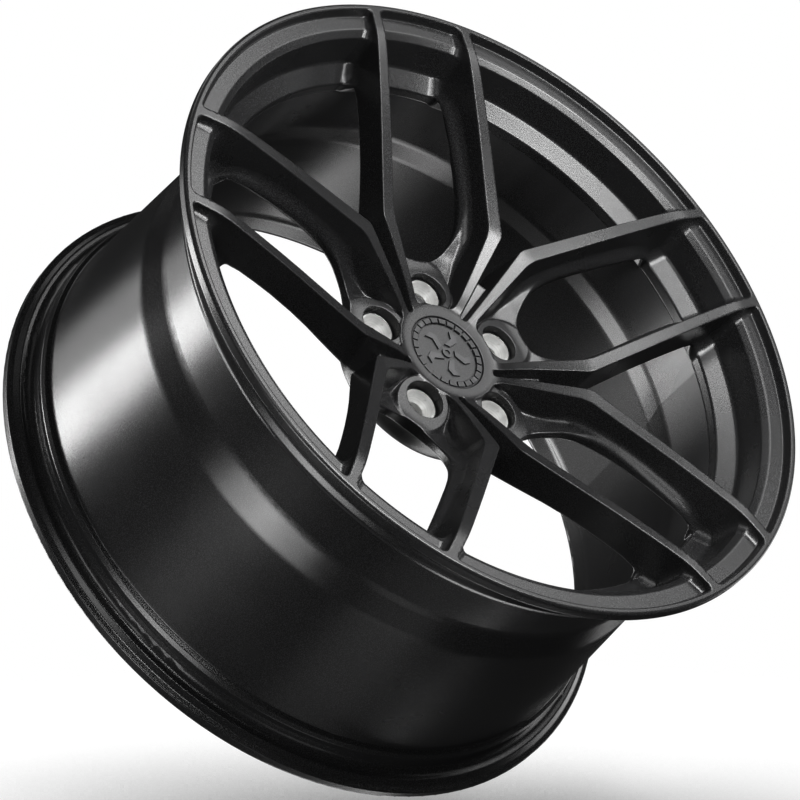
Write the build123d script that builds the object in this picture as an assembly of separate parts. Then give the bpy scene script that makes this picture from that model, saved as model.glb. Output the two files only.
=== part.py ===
from build123d import *
import math
import os

os.makedirs("parts", exist_ok=True)

# ---------------------------------------------------------------- driving dimensions, mm
# Working frame while drawing: x across, y up through lug 1, z outboard.
# At the end each solid is turned so that the wheel axis is Y, outboard is -Y and lug 1 is +Z.
R_FLANGE = 261.0          # outer radius of both flanges
R_BEAD = 243.7            # bead seat radius, 19 inch
H_FLANGE = 120.65         # half of the 9.5 inch rim width
H_FACE = 133.35           # half of the overall width
N_LUG = 5
PCD = 112.0
R_BOLT = 7.5              # bolt hole
H_PAD = 25.0              # mounting pad, offset 25 outboard of the rim centre plane
R_PAD = 72.5
H_HUB = 60.6              # hub face round the cap
R_HUB_DISC = 41.0
R_CENTRE_BORE = 36.55
H_CENTRE_BORE = 48.0
R_CAP_BORE = 28.75
R_CAP_RECESS = 31.2
H_CAP_RECESS = 56.0
R_SPIGOT = 33.3           # inner radius of the hub-centric ring

H_LAND = 126.25           # flat land just inside the lip
R_LIP_IN = 255.95
R_LAND_IN = 241.9
R_CHAMFER_IN = 236.9
H_CHAMFER = 122.5
R_LEDGE_IN = 217.6
H_LEDGE_IN = 92.3
H_PART = 84.0             # parting face between face forging and barrel

T_PLANE = 135.0           # plane the pocket outlines are drawn on
DRAFT_LUG = 15.0          # wall draft on the lug side of a ridge, degrees
DRAFT_SLOT = 5.0          # wall draft on the wide opening side
DRAFT_GROOVE = 16.0       # wall draft of the groove near the hub

# ridge of each spoke: plan points (along lug axis, across), slot side and lug side
KNEE_OUT = (89.5, 54.3)
TIP_OUT = (248.5, 45.5)
KNEE_IN = (93.3, 43.4)
TIP_IN = (249.6, 37.5)
ROOT_IN = (46.0, 20.5)
SLOT_R0, SLOT_W0 = 41.0, 3.15
SLOT_R1, SLOT_W1 = 104.0, 8.7
SLOT_FLOOR_END = 75.0
SLOT_FLOOR_DROP = 9.0

R_LUG_MOUTH = 15.0
BOSS_CENTRE, BOSS_HALF_LENGTH, BOSS_HALF_WIDTH = 60.0, 25.0, 21.3
H_LUG_SEAT = 52.4
R_COLLAR = 13.4
R_INSERT = 11.4
H_INSERT_END = 34.0


# ---------------------------------------------------------------- helpers
def rounded(points, closed=True):
    """Face from (x, y, radius) corners, each corner with a tangent arc."""
    n = len(points)
    edges = []
    starts, ends = [], []
    for i in range(n):
        x, y, r = points[i]
        px, py, _ = points[i - 1]
        nx, ny, _ = points[(i + 1) % n]
        if r <= 0:
            starts.append((x, y)); ends.append((x, y)); continue
        v1 = (px - x, py - y); v2 = (nx - x, ny - y)
        l1 = math.hypot(*v1); l2 = math.hypot(*v2)
        u1 = (v1[0] / l1, v1[1] / l1); u2 = (v2[0] / l2, v2[1] / l2)
        c = max(-1, min(1, u1[0] * u2[0] + u1[1] * u2[1]))
        half = math.acos(c) / 2
        d = r / math.tan(half)
        starts.append((x + u1[0] * d, y + u1[1] * d))
        ends.append((x + u2[0] * d, y + u2[1] * d))
    for i in range(n):
        x, y, r = points[i]
        if r > 0:
            s, e = starts[i], ends[i]
            mx, my = (s[0] + e[0]) / 2, (s[1] + e[1]) / 2
            v = (x - mx, y - my); L = math.hypot(*v)
            chord = math.hypot(e[0] - s[0], e[1] - s[1]) / 2
            sag = r - math.sqrt(max(r * r - chord * chord, 0))
            m = (mx + v[0] / L * sag, my + v[1] / L * sag)
            edges.append(ThreePointArc(s, m, e))
        a, b = ends[i], starts[(i + 1) % n]
        if math.hypot(a[0] - b[0], a[1] - b[1]) > 1e-6:
            edges.append(Line(a, b))
    return make_face(Wire(edges))


def spin(face):
    """Revolve a face drawn as (radius, height) about the wheel axis."""
    f = Plane.XZ * face
    return revolve(f, Axis.Z, 360)


def ring(r_in, r_out, z0, z1):
    return spin(rounded([(r_in, z0, 0), (r_out, z0, 0), (r_out, z1, 0), (r_in, z1, 0)]))


def cyl(r, z0, z1, x=0.0, y=0.0):
    return Pos(x, y, z0) * extrude(Circle(r), z1 - z0)


def around(shape, count=N_LUG, start=0.0):
    return [Rot(0, 0, -(start + 360.0 / count * i)) * shape for i in range(count)]


def h_ridge(r):
    pts = [(0, H_HUB), (42, H_HUB), (104, 93.0), (142, 101.4), (180, 110.6), (218, 121.2), (257, H_FACE)]
    for (a, ha), (b, hb) in zip(pts[:-1], pts[1:]):
        if r <= b:
            return ha + (hb - ha) * (r - a) / (b - a)
    return H_FACE


def tan_d(draft):
    return math.tan(math.radians(draft))


def side_line(a, b, sign, draft):
    """Ridge edge a-b in plan, moved on the drawing plane so that a drafted wall
    passes through it at ridge height. Returns two points of the moved line."""
    dx, dy = b[1] - a[1], b[0] - a[0]          # across, along
    L = math.hypot(dx, dy)
    nx, ny = sign * dy / L, -sign * dx / L     # pointing into the opening
    out = []
    for p in (a, b):
        h = h_ridge(math.hypot(p[0], p[1]))
        o = -(T_PLANE - h) * tan_d(draft)
        out.append((p[1] + nx * o, p[0] + ny * o))
    return out


def meet(l1, l2):
    (x1, y1), (x2, y2) = l1
    (x3, y3), (x4, y4) = l2
    d = (x1 - x2) * (y3 - y4) - (y1 - y2) * (x3 - x4)
    a = x1 * y2 - y1 * x2
    b = x3 * y4 - y3 * x4
    return ((a * (x3 - x4) - (x1 - x2) * b) / d, (a * (y3 - y4) - (y1 - y2) * b) / d)


def circle_hit(l, r):
    """Point of line l at radius r, on the far side along y."""
    (x1, y1), (x2, y2) = l
    dx, dy = x2 - x1, y2 - y1
    A = dx * dx + dy * dy
    B = 2 * (x1 * dx + y1 * dy)
    C = x1 * x1 + y1 * y1 - r * r
    t = (-B + math.sqrt(B * B - 4 * A * C)) / (2 * A)
    return (x1 + t * dx, y1 + t * dy)


def arc_face(left, r_out, fil, fil_arc):
    """Region symmetric about y: 'left' are the points on the +x side from the inner
    end outwards, the last one on the arc of radius r_out. Corners get fillets."""
    e = [(x, y) for x, y in left]
    m = [(-x, y) for x, y in left][::-1]
    lines = []
    for a, b in zip(e[:-1], e[1:]):
        lines.append(Line(a, b))
    lines.append(ThreePointArc(e[-1], (0, r_out), m[0]))
    for a, b in zip(m[:-1], m[1:]):
        lines.append(Line(a, b))
    lines.append(Line(m[-1], e[0]))
    f = make_face(Wire(lines))
    for idx, (x, y) in enumerate(left):
        r = fil_arc if idx == len(left) - 1 else fil[idx]
        if r <= 0:
            continue
        vs = [v for v in f.vertices() if abs(abs(v.X) - abs(x)) < 1e-4 and abs(v.Y - y) < 1e-4]
        if vs:
            f = fillet(vs, r)
            f = f.faces()[0] if not isinstance(f, Face) else f
    return f


def tapered(face, depth, draft):
    return extrude(Pos(0, 0, T_PLANE) * face, -depth, taper=draft)


# ---------------------------------------------------------------- face forging
def rim_front_profile():
    top = [
        (0, H_HUB, 0), (42, H_HUB, 14), (104, 93.0, 45), (180, 110.6, 300), (256.6, H_FACE, 0),
        (R_FLANGE, H_FACE, 2.4), (R_FLANGE, 125.2, 1.2), (256.6, 123.9, 3.0), (252.8, H_FLANGE, 2.5),
        (R_BEAD + 0.2, H_FLANGE, 6.5), (243.2, 106.6, 6), (244.5, 101.6, 4), (242.9, 97.2, 3),
        (224.0, 87.4, 7), (224.0, 80.0, 0), (220.8, 80.0, 0), (220.8, H_PART, 0),
    ]
    back = [
        (216.5, H_PART, 12), (205, 85.4, 60), (177, 83.3, 90), (141, 74.4, 120), (107, 61.0, 120), (82, 46.0, 14),
        (77, 28.0, 5), (R_PAD, H_PAD, 0), (0, H_PAD, 0),
    ]
    return rounded(top + back)


def shoulder_profile():
    """Everything below this stays solid between the two ridges of a pair."""
    pts = [(0, 10, 0), (0, 53.6, 0), (50, 53.6, 20), (76, 54.6, 30), (93, 62.2, 30), (108, 72.0, 30), (141, 85.6, 60),
           (178, 94.2, 60), (202, 95.4, 20), (R_LEDGE_IN + 0.2, H_LEDGE_IN, 0), (232.6, 99.9, 3.0),
           (237.6, 124.3, 0), (300, 124.3, 0), (300, 10, 0)]
    return spin(rounded(pts))


def pocket_chamfer():
    return spin(rounded([(200, 160, 0), (200, H_CHAMFER - 20, 0), (R_CHAMFER_IN - 0.6, H_CHAMFER - 20, 0),
                         (R_CHAMFER_IN, H_CHAMFER, 2.0), (R_LAND_IN, H_LAND, 1.6), (R_LAND_IN + 3, H_LAND, 0),
                         (R_LAND_IN + 3, 160, 0)]))


def build_face():
    body = spin(rim_front_profile())

    # --- openings on the lug axis, between the two ridges of a pair
    l1 = side_line(ROOT_IN, KNEE_IN, -1, DRAFT_LUG)
    l2 = side_line(KNEE_IN, TIP_IN, -1, DRAFT_LUG)
    TL, TS = tan_d(DRAFT_LUG), tan_d(DRAFT_SLOT)
    root = l1[0]
    knee = meet(l1, l2)

    def lug_region(r_out, fa):
        tip = circle_hit(l2, r_out)
        return arc_face([root, knee, tip], r_out, [24.0, 24.0], fa)

    lug_a = tapered(lug_region(R_LIP_IN + 0.35, 3.5), T_PLANE - H_LAND, DRAFT_LUG)
    lug_c = tapered(lug_region(R_LAND_IN + 2.4, 9.0), 20, DRAFT_LUG) & pocket_chamfer()
    lug_b = tapered(lug_region(R_CHAMFER_IN + 12.5 * TL, 14.0), 84, DRAFT_LUG) - shoulder_profile()

    # --- wide openings, drawn on the slot axis (36 degrees from a lug axis)
    c36, s36 = math.cos(math.radians(36)), math.sin(math.radians(36))

    def to_slot(p):
        a, t = p
        return (a * c36 + t * s36, abs(-a * s36 + t * c36))

    ko, to = to_slot(KNEE_OUT), to_slot(TIP_OUT)
    w_end = SLOT_W0 + (SLOT_FLOOR_END - SLOT_R0) * (SLOT_W1 - SLOT_W0) / (SLOT_R1 - SLOT_R0)
    m0 = side_line((SLOT_R0, SLOT_W0), ko, -1, DRAFT_SLOT)
    m1 = side_line(ko, to, -1, DRAFT_SLOT)
    kn = meet(m0, m1)
    # inner end of the through opening
    k = (SLOT_FLOOR_END - SLOT_R0) / (SLOT_R1 - SLOT_R0)
    xin = m0[0][0] + (kn[0] - m0[0][0]) * k
    yin = m0[0][1] + (kn[1] - m0[0][1]) * k

    def slot_region(r_out, fa):
        tip = circle_hit(m1, r_out)
        return arc_face([(xin, yin - 4), kn, tip], r_out, [4.0, 12.0], fa)

    wide_a = tapered(slot_region(R_LIP_IN + 0.35, 3.5), T_PLANE - H_LAND, DRAFT_SLOT)
    wide_c = tapered(slot_region(R_LAND_IN + 2.4, 9.0), 20, DRAFT_SLOT) & pocket_chamfer()
    wide_b = tapered(slot_region(R_CHAMFER_IN + 12.5 * TS, 8.0), 84, DRAFT_SLOT) - shoulder_profile()
    wide_t = tapered(slot_region(R_LEDGE_IN + (T_PLANE - H_LEDGE_IN) * TS, 14.0), 115, DRAFT_SLOT)

    # --- groove between neighbouring ridges near the hub, with its own sloping floor
    def groove_section(r):
        w = SLOT_W0 + (SLOT_W1 - SLOT_W0) * (r - SLOT_R0) / (SLOT_R1 - SLOT_R0)
        h = h_ridge(r)
        lo, hi = w - SLOT_FLOOR_DROP * tan_d(DRAFT_GROOVE), w + 12 * tan_d(DRAFT_GROOVE)
        z0, z1 = h - SLOT_FLOOR_DROP, h + 12
        return Face(Wire.make_polygon([(-lo, r, z0), (lo, r, z0), (hi, r, z1), (-hi, r, z1)]))

    groove = loft([groove_section(SLOT_R0 - 1.0), groove_section(84.0)], ruled=True)

    # --- U-shaped window through the web on each lug axis
    half = [(0.0, 82.4), (9.0, 83.6), (17.5, 88.0), (25.0, 95.2), (30.6, 104.0), (33.6, 114.5), (34.2, 126.0),
            (33.4, 142.0), (32.0, 160.0), (30.6, 180.0), (29.2, 200.0)]
    tipx = 28.2
    tipy = math.sqrt(R_LEDGE_IN ** 2 - tipx ** 2)
    right = [(x, y) for x, y in half]
    left = [(-x, y) for x, y in half[1:]][::-1]
    sp = Spline(*(left + right), tangents=[(0.06, -1.0), (-0.06 * -1, 1.0)])
    win = make_face(Wire([sp, Line(right[-1], (tipx, tipy)), ThreePointArc((tipx, tipy), (0, R_LEDGE_IN), (-tipx, tipy)),
                          Line((-tipx, tipy), left[0])]))
    vs = [v for v in win.vertices() if v.Y > 205]
    win = fillet(vs, 7.0)
    u_window = Pos(0, 0, 20) * extrude(win, 88)

    cut = []
    for s in (lug_a, lug_c, lug_b, u_window):
        cut += around(s)
    for s in (wide_a, wide_c, wide_b, wide_t, groove):
        cut += around(s, start=36.0)
    body = body - cut

    # --- lug bosses with a gently falling pad
    pad = spin(rounded([(0, 20, 0), (0, H_HUB, 0), (R_HUB_DISC, H_HUB, 0), (84.0, 57.6, 0), (84.0, 20, 0)]))
    boss = (Pos(0, BOSS_CENTRE, 30) * extrude(Ellipse(BOSS_HALF_WIDTH, BOSS_HALF_LENGTH), 32)) & pad
    boss = boss - u_window
    body = body + around(boss)

    # --- bores
    cuts = [cyl(R_CENTRE_BORE, 0, H_CENTRE_BORE), cyl(R_CAP_BORE, 0, 100), cyl(R_CAP_RECESS, H_CAP_RECESS, 100),
            cyl(38.4, 0, H_PAD + 1.8)]
    lug = [cyl(R_LUG_MOUTH, H_LUG_SEAT - 1.0, 100, 0, PCD / 2), cyl(R_COLLAR, H_LUG_SEAT - 4.6, 100, 0, PCD / 2),
           cyl(R_INSERT, H_INSERT_END, 100, 0, PCD / 2), cyl(R_BOLT, 0, 100, 0, PCD / 2)]
    for c in lug:
        cuts += around(c)
    # relief pockets in the mounting pad, between the bolt holes
    relief = (ring(47.0, 65.0, H_PAD - 5, H_PAD + 7) & (Pos(0, 56, H_PAD) * Box(26, 40, 30)))
    cuts += around(relief, start=36.0)
    body = body - cuts
    return body


TURN = Rot(90, 0, 0)


def save(name, solids):
    """Turn from the drawing frame into the wheel frame and write one file."""
    if not isinstance(solids, (list, tuple)):
        solids = [solids]
    flat = []
    for s in solids:
        flat += list((TURN * s).solids())
    shape = flat[0] if len(flat) == 1 else Compound(children=flat)
    shape.label = name
    export_step(shape, "parts/%s.step" % name)


save("wheel_face_forging", build_face())

# ---------------------------------------------------------------- flow-formed barrel
R_WELL = 224.0
R_WELL_IN = 217.6


def build_barrel():
    p = [
        (R_WELL_IN, H_PART, 0), (220.8, H_PART, 0), (220.8, 80.0, 0), (R_WELL, 80.0, 0),
        (R_WELL, 40.0, 26), (230.2, 17.0, 26), (239.3, -99.0, 1.0), (243.0, -100.6, 0.8), (244.6, -104.6, 3),
        (243.1, -109.5, 3), (R_BEAD, -120.65, 6.5), (252.8, -120.65, 2.5), (256.6, -123.9, 3.0),
        (R_FLANGE, -125.2, 1.2), (R_FLANGE, -H_FACE, 2.6), (254.6, -H_FACE, 2.2), (248.6, -126.4, 5),
        (239.6, -126.0, 8), (238.2, -104.0, 14), (234.4, -96.0, 20), (225.0, 14.0, 22), (R_WELL_IN, 38.0, 22),
    ]
    body = spin(rounded(p))
    return body


# ---------------------------------------------------------------- valve, radial, 24 degrees past the lug 5 axis
VALVE_ANGLE = 312.0
H_VALVE = 67.0
R_VALVE_HOLE = 5.65


def at_valve(shape):
    """Valve pieces are drawn with z running from the well surface towards the wheel centre."""
    return Rot(0, 0, -VALVE_ANGLE) * Pos(0, R_WELL, H_VALVE) * Rot(90, 0, 0) * shape


def valve_cut():
    hole = cyl(R_VALVE_HOLE, -10, 12) + cyl(8.7, 5.9, 20) + cyl(8.9, -12, 0.6)
    return at_valve(hole)


def hexagon(af, z0, z1, hole):
    h = Pos(0, 0, z0) * extrude(RegularPolygon(af / 2, 6, major_radius=False), z1 - z0)
    dome = spin(rounded([(0, z0, 0), (af / 2 + 0.15, z0, 0), (af / 2 * 1.16, z0 + 0.8, 0),
                         (af / 2 * 1.16, z1 - 0.8, 0), (af / 2 + 0.15, z1, 0), (0, z1, 0)]))
    return (h & dome) - cyl(hole, z0 - 1, z1 + 1)


barrel = build_barrel() - valve_cut()
save("flow_formed_barrel", barrel)

stem = spin(rounded([(1.7, -4.6, 0), (7.4, -4.6, 0), (8.2, -3.8, 0), (8.2, -2.0, 0), (5.2, -2.0, 0), (5.2, 5.4, 0),
                     (4.6, 5.9, 0), (4.6, 14.0, 0), (4.0, 14.6, 0), (4.0, 29.0, 0), (3.85, 29.3, 0), (3.85, 37.4, 0),
                     (3.3, 38.0, 0), (2.6, 38.0, 0), (2.6, 18.0, 0), (1.7, 17.0, 0)]))
grooves = [ring(3.5, 4.2, 29.8 + 0.9 * i, 30.25 + 0.9 * i) for i in range(8)]
grooves.append(ring(4.25, 4.9, 12.7, 13.3))
stem = stem - grooves
save("valve_stem", at_valve(stem))
save("valve_seal", at_valve(spin(rounded([(5.2, -2.0, 0), (8.3, -2.0, 0.4), (8.5, 0.6, 0), (5.62, 0.6, 0), (5.62, 4.4, 0), (5.2, 4.4, 0)]))))
save("valve_washer", at_valve(ring(4.65, 8.0, 5.9, 6.9)))
save("valve_nut", at_valve(hexagon(13.0, 6.9, 12.3, 4.6)))

core = spin(rounded([(0.95, 23.0, 0), (2.2, 23.0, 0), (2.55, 23.6, 0), (2.55, 35.6, 0), (2.2, 36.0, 0), (0.95, 36.0, 0),
                     (0.95, 34.6, 0), (1.9, 34.2, 0), (1.9, 24.2, 0), (0.95, 24.2, 0)]))
save("valve_core_body", at_valve(core))
pin = spin(rounded([(0, 19.4, 0), (0.6, 19.4, 0), (0.6, 20.4, 0), (1.9, 20.4, 0), (1.9, 22.0, 0), (0.6, 22.0, 0), (0.6, 29.4, 0),
                    (1.6, 29.4, 0), (1.6, 30.4, 0), (0.6, 30.4, 0), (0.6, 37.2, 0.2), (0, 37.2, 0)]))
save("valve_core_pin", at_valve(pin))
save("valve_core_gasket", at_valve(ring(0.65, 1.85, 22.0, 23.0)))
SPRING_R, SPRING_WIRE, SPRING_H0, SPRING_H1 = 1.3, 0.2, 24.42, 29.18
helix = Pos(0, 0, SPRING_H0) * Helix(pitch=(SPRING_H1 - SPRING_H0) / 6, height=SPRING_H1 - SPRING_H0, radius=SPRING_R)
wire_section = Plane(origin=helix @ 0, z_dir=helix % 0) * Circle(SPRING_WIRE)
save("valve_core_spring", at_valve(sweep(wire_section, path=helix)))
cap = spin(rounded([(3.95, 30.5, 0), (4.9, 30.5, 0.4), (5.1, 41.2, 1.0), (0, 41.6, 0), (0, 38.8, 0), (3.95, 38.8, 0)]))
knurl = [Rot(0, 0, 15.0 * i) * Pos(5.35, 0, 31.6) * extrude(Circle(0.45), 8.2) for i in range(24)]
save("valve_cap", at_valve(cap - knurl))
save("valve_cap_gasket", at_valve(ring(1.5, 3.9, 38.1, 38.8)))

# ---------------------------------------------------------------- lug seat inserts
insert = spin(rounded([(R_BOLT, H_INSERT_END, 0), (R_INSERT - 0.6, H_INSERT_END, 0), (R_INSERT, H_INSERT_END + 0.6, 0),
                       (R_INSERT, H_LUG_SEAT - 4.6, 0), (R_COLLAR, H_LUG_SEAT - 4.6, 0), (R_COLLAR, H_LUG_SEAT - 0.5, 0),
                       (R_COLLAR - 0.4, H_LUG_SEAT, 0.2), (12.75, H_LUG_SEAT, 0.2), (12.65, H_LUG_SEAT - 0.9, 0),
                       (12.15, H_LUG_SEAT - 0.9, 0), (12.05, H_LUG_SEAT - 0.2, 0),
                       (R_BOLT, H_LUG_SEAT - 0.2 - (12.05 - R_BOLT) / math.tan(math.radians(30)), 0)]))
for i, s in enumerate(around(Pos(0, PCD / 2, 0) * insert)):
    save("lug_seat_insert_%d" % (i + 1), s)

# ---------------------------------------------------------------- hub-centric ring
save("hub_centric_ring", spin(rounded([(R_SPIGOT, H_PAD + 1.1, 0), (R_SPIGOT + 0.8, H_PAD + 0.3, 0), (37.9, H_PAD + 0.3, 0),
                                       (37.9, H_PAD + 1.8, 0), (R_CENTRE_BORE, H_PAD + 1.8, 0),
                                       (R_CENTRE_BORE, 38.4, 0), (R_CENTRE_BORE - 0.8, 39.2, 0), (R_SPIGOT + 0.8, 39.2, 0), (R_SPIGOT, 38.4, 0)])))

# ---------------------------------------------------------------- centre cap
R_CAP = 30.9
H_PLATE = 57.6            # top of the cap body plate
H_DISC = 58.8             # badge disc
H_CAP_TOP = 60.4          # top of the castellations
R_TRIM_IN, R_TOOTH_IN, R_TOOTH_OUT, R_TRIM_OUT = 24.9, 25.6, 29.9, 30.1
N_TEETH = 24
W_GROOVE = 1.4
plate = spin(rounded([(0, H_CAP_RECESS + 0.1, 0), (R_CAP, H_CAP_RECESS + 0.1, 0), (R_CAP, 59.6, 0.4), (R_TRIM_OUT, 59.6, 0),
                      (R_TRIM_OUT, H_PLATE, 0), (0, H_PLATE, 0)]))
skirt = ring(26.6, 28.65, 51.0, H_CAP_RECESS + 0.1)
leg = spin(rounded([(26.6, 44.6, 0), (27.6, 44.6, 0), (28.7, 46.6, 0), (28.7, 47.4, 0), (28.2, 48.2, 0), (28.2, 51.0, 0), (26.6, 51.0, 0)]))
leg = leg & (Pos(0, 30, 48) * Box(9.0, 20, 20))
legs = around(leg, 8, 22.5)
slots = around(Pos(0, 28, 49.5) * Box(3.0, 8, 9.0), 8, 0.0)
cap_body = plate + skirt + legs
cap_body = cap_body - ring(24.0, 27.3, 46.9, 47.9) - slots
save("centre_cap_body", cap_body)
# split wire ring that presses the clip legs outwards
save("centre_cap_spring_ring", Pos(0, 0, 47.4) * Rot(0, 0, 99) * revolve(Plane.XZ * (Pos(26.78, 0) * Circle(0.5)), Axis.Z, 342))
# castellated trim ring
trim = ring(R_TRIM_IN, R_TRIM_OUT, H_PLATE, H_DISC - 0.2)
crown = spin(rounded([(R_TOOTH_IN, H_DISC - 0.4, 0), (R_TOOTH_OUT, H_DISC - 0.4, 0), (R_TOOTH_OUT, H_CAP_TOP, 0.35), (R_TOOTH_IN, H_CAP_TOP, 0.35)]))
gaps = around(Pos(0, 28, H_CAP_TOP) * Box(W_GROOVE, 8, 2 * (H_CAP_TOP - H_DISC + 0.2)), N_TEETH, -1.0)
trim = (trim + crown) - gaps
save("centre_cap_trim_ring", trim)
# badge disc with a raised five-blade rotor mark
disc = spin(rounded([(0, H_PLATE, 0), (R_TRIM_IN, H_PLATE, 0), (R_TRIM_IN, H_DISC, 0.3), (0, H_DISC, 0)]))
blade = Polyline((-1.6, 7.2), (3.2, 6.2), (9.8, 12.2), (9.0, 17.8), (3.4, 20.2), (4.6, 14.0), (-1.6, 7.2))
blade = Pos(0, 0, H_DISC - 0.1) * extrude(make_face(blade), 1.3)
mark = around(blade, 5, 10.0) + [cyl(4.2, H_DISC - 0.1, H_DISC + 1.2) - cyl(2.2, H_DISC + 0.3, H_DISC + 2)]
badge = disc + mark
save("centre_cap_badge", badge)
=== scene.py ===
import bpy
from mathutils import Matrix, Vector
import math
import numpy as np


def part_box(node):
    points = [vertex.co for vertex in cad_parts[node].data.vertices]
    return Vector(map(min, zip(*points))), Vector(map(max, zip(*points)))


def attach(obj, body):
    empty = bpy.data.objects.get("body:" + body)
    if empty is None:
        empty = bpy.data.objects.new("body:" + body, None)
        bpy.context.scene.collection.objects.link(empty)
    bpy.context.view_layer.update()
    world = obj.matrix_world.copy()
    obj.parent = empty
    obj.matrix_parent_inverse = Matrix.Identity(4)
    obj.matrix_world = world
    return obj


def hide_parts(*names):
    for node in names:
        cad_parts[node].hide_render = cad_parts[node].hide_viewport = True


# ---- shape of the face forging, mm, in (s along a lug axis, t across, z outboard)
def tab(points, sigma, lo=-20.0, hi=290.0, step=0.5):
    x = np.arange(lo, hi, step)
    y = np.interp(x, [p[0] for p in points], [p[1] for p in points])
    if sigma > 0:
        n = int(3 * sigma / step)
        k = np.exp(-0.5 * (np.arange(-n, n + 1) * step / sigma) ** 2)
        y = np.convolve(np.pad(y, n, mode="edge"), k / k.sum(), mode="valid")
    g = np.gradient(y, step)
    return x, y, 1.0 / np.sqrt(1 + g * g)


def look(table, r):
    return np.interp(r, table[0], table[1]), np.interp(r, table[0], table[2])


H_TOP = tab([(0, 60.6), (41.5, 60.6), (52, 67.5), (67, 75.7), (90, 87.4), (104, 94.2), (121, 99.9), (139, 106.0), (158, 112.3),
             (177, 118.3), (196, 123.8), (216, 129.4), (228, 132.3), (236, 133.35), (257, 133.35), (290, 133.35)], 3.2)
H_SH = tab([(0, 53.4), (50, 53.6), (74, 54.2), (91, 60.5), (107, 71.2), (124, 79.8), (141, 86.2), (160, 91.8), (178, 96.0),
            (194, 99.2), (206, 98.6), (217.6, 92.3), (290, 92.3)], 3.0)
H_BACK = tab([(0, 25), (71.8, 25), (72.6, 26), (74.5, 31), (78, 45.6), (92, 53.6), (107, 61.2), (138, 75.8), (153, 81.8), (172, 88.0),
               (186, 91.6), (200, 94.6), (211, 95.2), (215.5, 84.4), (220.6, 84), (220.9, 80), (290, 80)], 0.9)
H_BOSS = tab([(0, 60.5), (41, 60.5), (84, 57.4), (290, 42.0)], 1.5)


def runion(a, b, R):
    u = np.maximum(R - a, 0.0)
    v = np.maximum(R - b, 0.0)
    return np.maximum(R, np.minimum(a, b)) - np.sqrt(u * u + v * v)


def rinter(a, b, R):
    u = np.maximum(R + a, 0.0)
    v = np.maximum(R + b, 0.0)
    return np.minimum(-R, np.maximum(a, b)) + np.sqrt(u * u + v * v)


def arcs(points, step=0.5):
    """Polyline of a polygon whose corners carry tangent arcs: (x, y, radius)."""
    out = []
    n = len(points)
    for i in range(n):
        x, y, r = points[i]
        if r <= 0:
            out.append((x, y))
            continue
        px, py = points[i - 1][:2]
        nx, ny = points[(i + 1) % n][:2]
        a = np.array([px - x, py - y]); b = np.array([nx - x, ny - y])
        a /= np.linalg.norm(a); b /= np.linalg.norm(b)
        half = math.acos(max(-1, min(1, float(a @ b)))) / 2
        d = r / math.tan(half)
        c = np.array([x, y]) + (a + b) / np.linalg.norm(a + b) * r / math.sin(half)
        p0 = np.array([x, y]) + a * d - c
        p1 = np.array([x, y]) + b * d - c
        a0 = math.atan2(p0[1], p0[0]); a1 = math.atan2(p1[1], p1[0])
        da = (a1 - a0 + math.pi) % (2 * math.pi) - math.pi
        m = max(2, int(abs(da) * r / step) + 2)
        for k in range(m + 1):
            w = a0 + da * k / m
            out.append((c[0] + r * math.cos(w), c[1] + r * math.sin(w)))
    return np.array(out)


def polygon_field(poly, x0, x1, y0, y1, step):
    """Signed distance to a polygon on a regular grid, negative inside."""
    xs = np.arange(x0, x1 + step / 2, step)
    ys = np.arange(y0, y1 + step / 2, step)
    X, Y = np.meshgrid(xs, ys, indexing="ij")
    best = np.full(X.shape, 1e9)
    inside = np.zeros(X.shape, bool)
    P = np.asarray(poly, float)
    Q = np.roll(P, -1, axis=0)
    for (ax, ay), (bx, by) in zip(P, Q):
        ex, ey = bx - ax, by - ay
        L = ex * ex + ey * ey
        if L < 1e-12:
            continue
        w = np.clip(((X - ax) * ex + (Y - ay) * ey) / L, 0, 1)
        d = (X - ax - w * ex) ** 2 + (Y - ay - w * ey) ** 2
        np.minimum(best, d, out=best)
        cross = (ay > Y) != (by > Y)
        if ay != by:
            inside ^= cross & (X < (bx - ax) * (Y - ay) / (by - ay) + ax)
    d = np.sqrt(best)
    d[inside] *= -1
    return (x0, y0, step, d)


def field(F, x, y):
    x0, y0, step, d = F
    u = np.clip((x - x0) / step, 0, d.shape[0] - 1.001)
    v = np.clip((y - y0) / step, 0, d.shape[1] - 1.001)
    i = u.astype(np.int32); j = v.astype(np.int32)
    fu = u - i; fv = v - j
    return ((d[i, j] * (1 - fu) + d[i + 1, j] * fu) * (1 - fv) + (d[i, j + 1] * (1 - fu) + d[i + 1, j + 1] * fu) * fv)


# rim ring: everything that is turned, open at the top (cut by the top surface) and bottom
web = [(float(r), float(look(H_SH, np.array([r]))[0][0]), 0) for r in np.arange(180.0, 215.1, 2.5)]
RING = arcs([(150.0, 20.0, 0), (150.0, 92.0, 0)] + web[1:] + [
    (217.6, 92.3, 0.0), (232.2, 99.7, 4.0), (236.9, 122.5, 1.6), (241.9, 126.25, 2.5), (254.1, 126.25, 1.6), (256.0, 134.0, 0),
    (256.0, 160.0, 0), (261.0, 160.0, 0), (261.0, 125.2, 1.2), (256.6, 123.9, 3.0), (252.8, 120.65, 2.5),
    (243.9, 120.65, 6.5), (243.2, 106.6, 6), (244.5, 101.6, 4), (242.9, 97.2, 3), (224.0, 87.4, 7), (224.0, 20.0, 0)])
T_RING = polygon_field(RING, 188.0, 266.0, 60.0, 150.0, 0.3)
OUTER = arcs([(150.0, 10.0, 0), (150.0, 170.0, 0), (261.0, 170.0, 0), (261.0, 125.2, 1.2), (256.6, 123.9, 3.0), (252.8, 120.65, 2.5),
              (243.9, 120.65, 6.5), (243.2, 106.6, 6), (244.5, 101.6, 4), (242.9, 97.2, 3), (224.0, 87.4, 7), (224.0, 10.0, 0)])
T_OUT = polygon_field(OUTER, 188.0, 266.0, 60.0, 150.0, 0.3)

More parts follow.
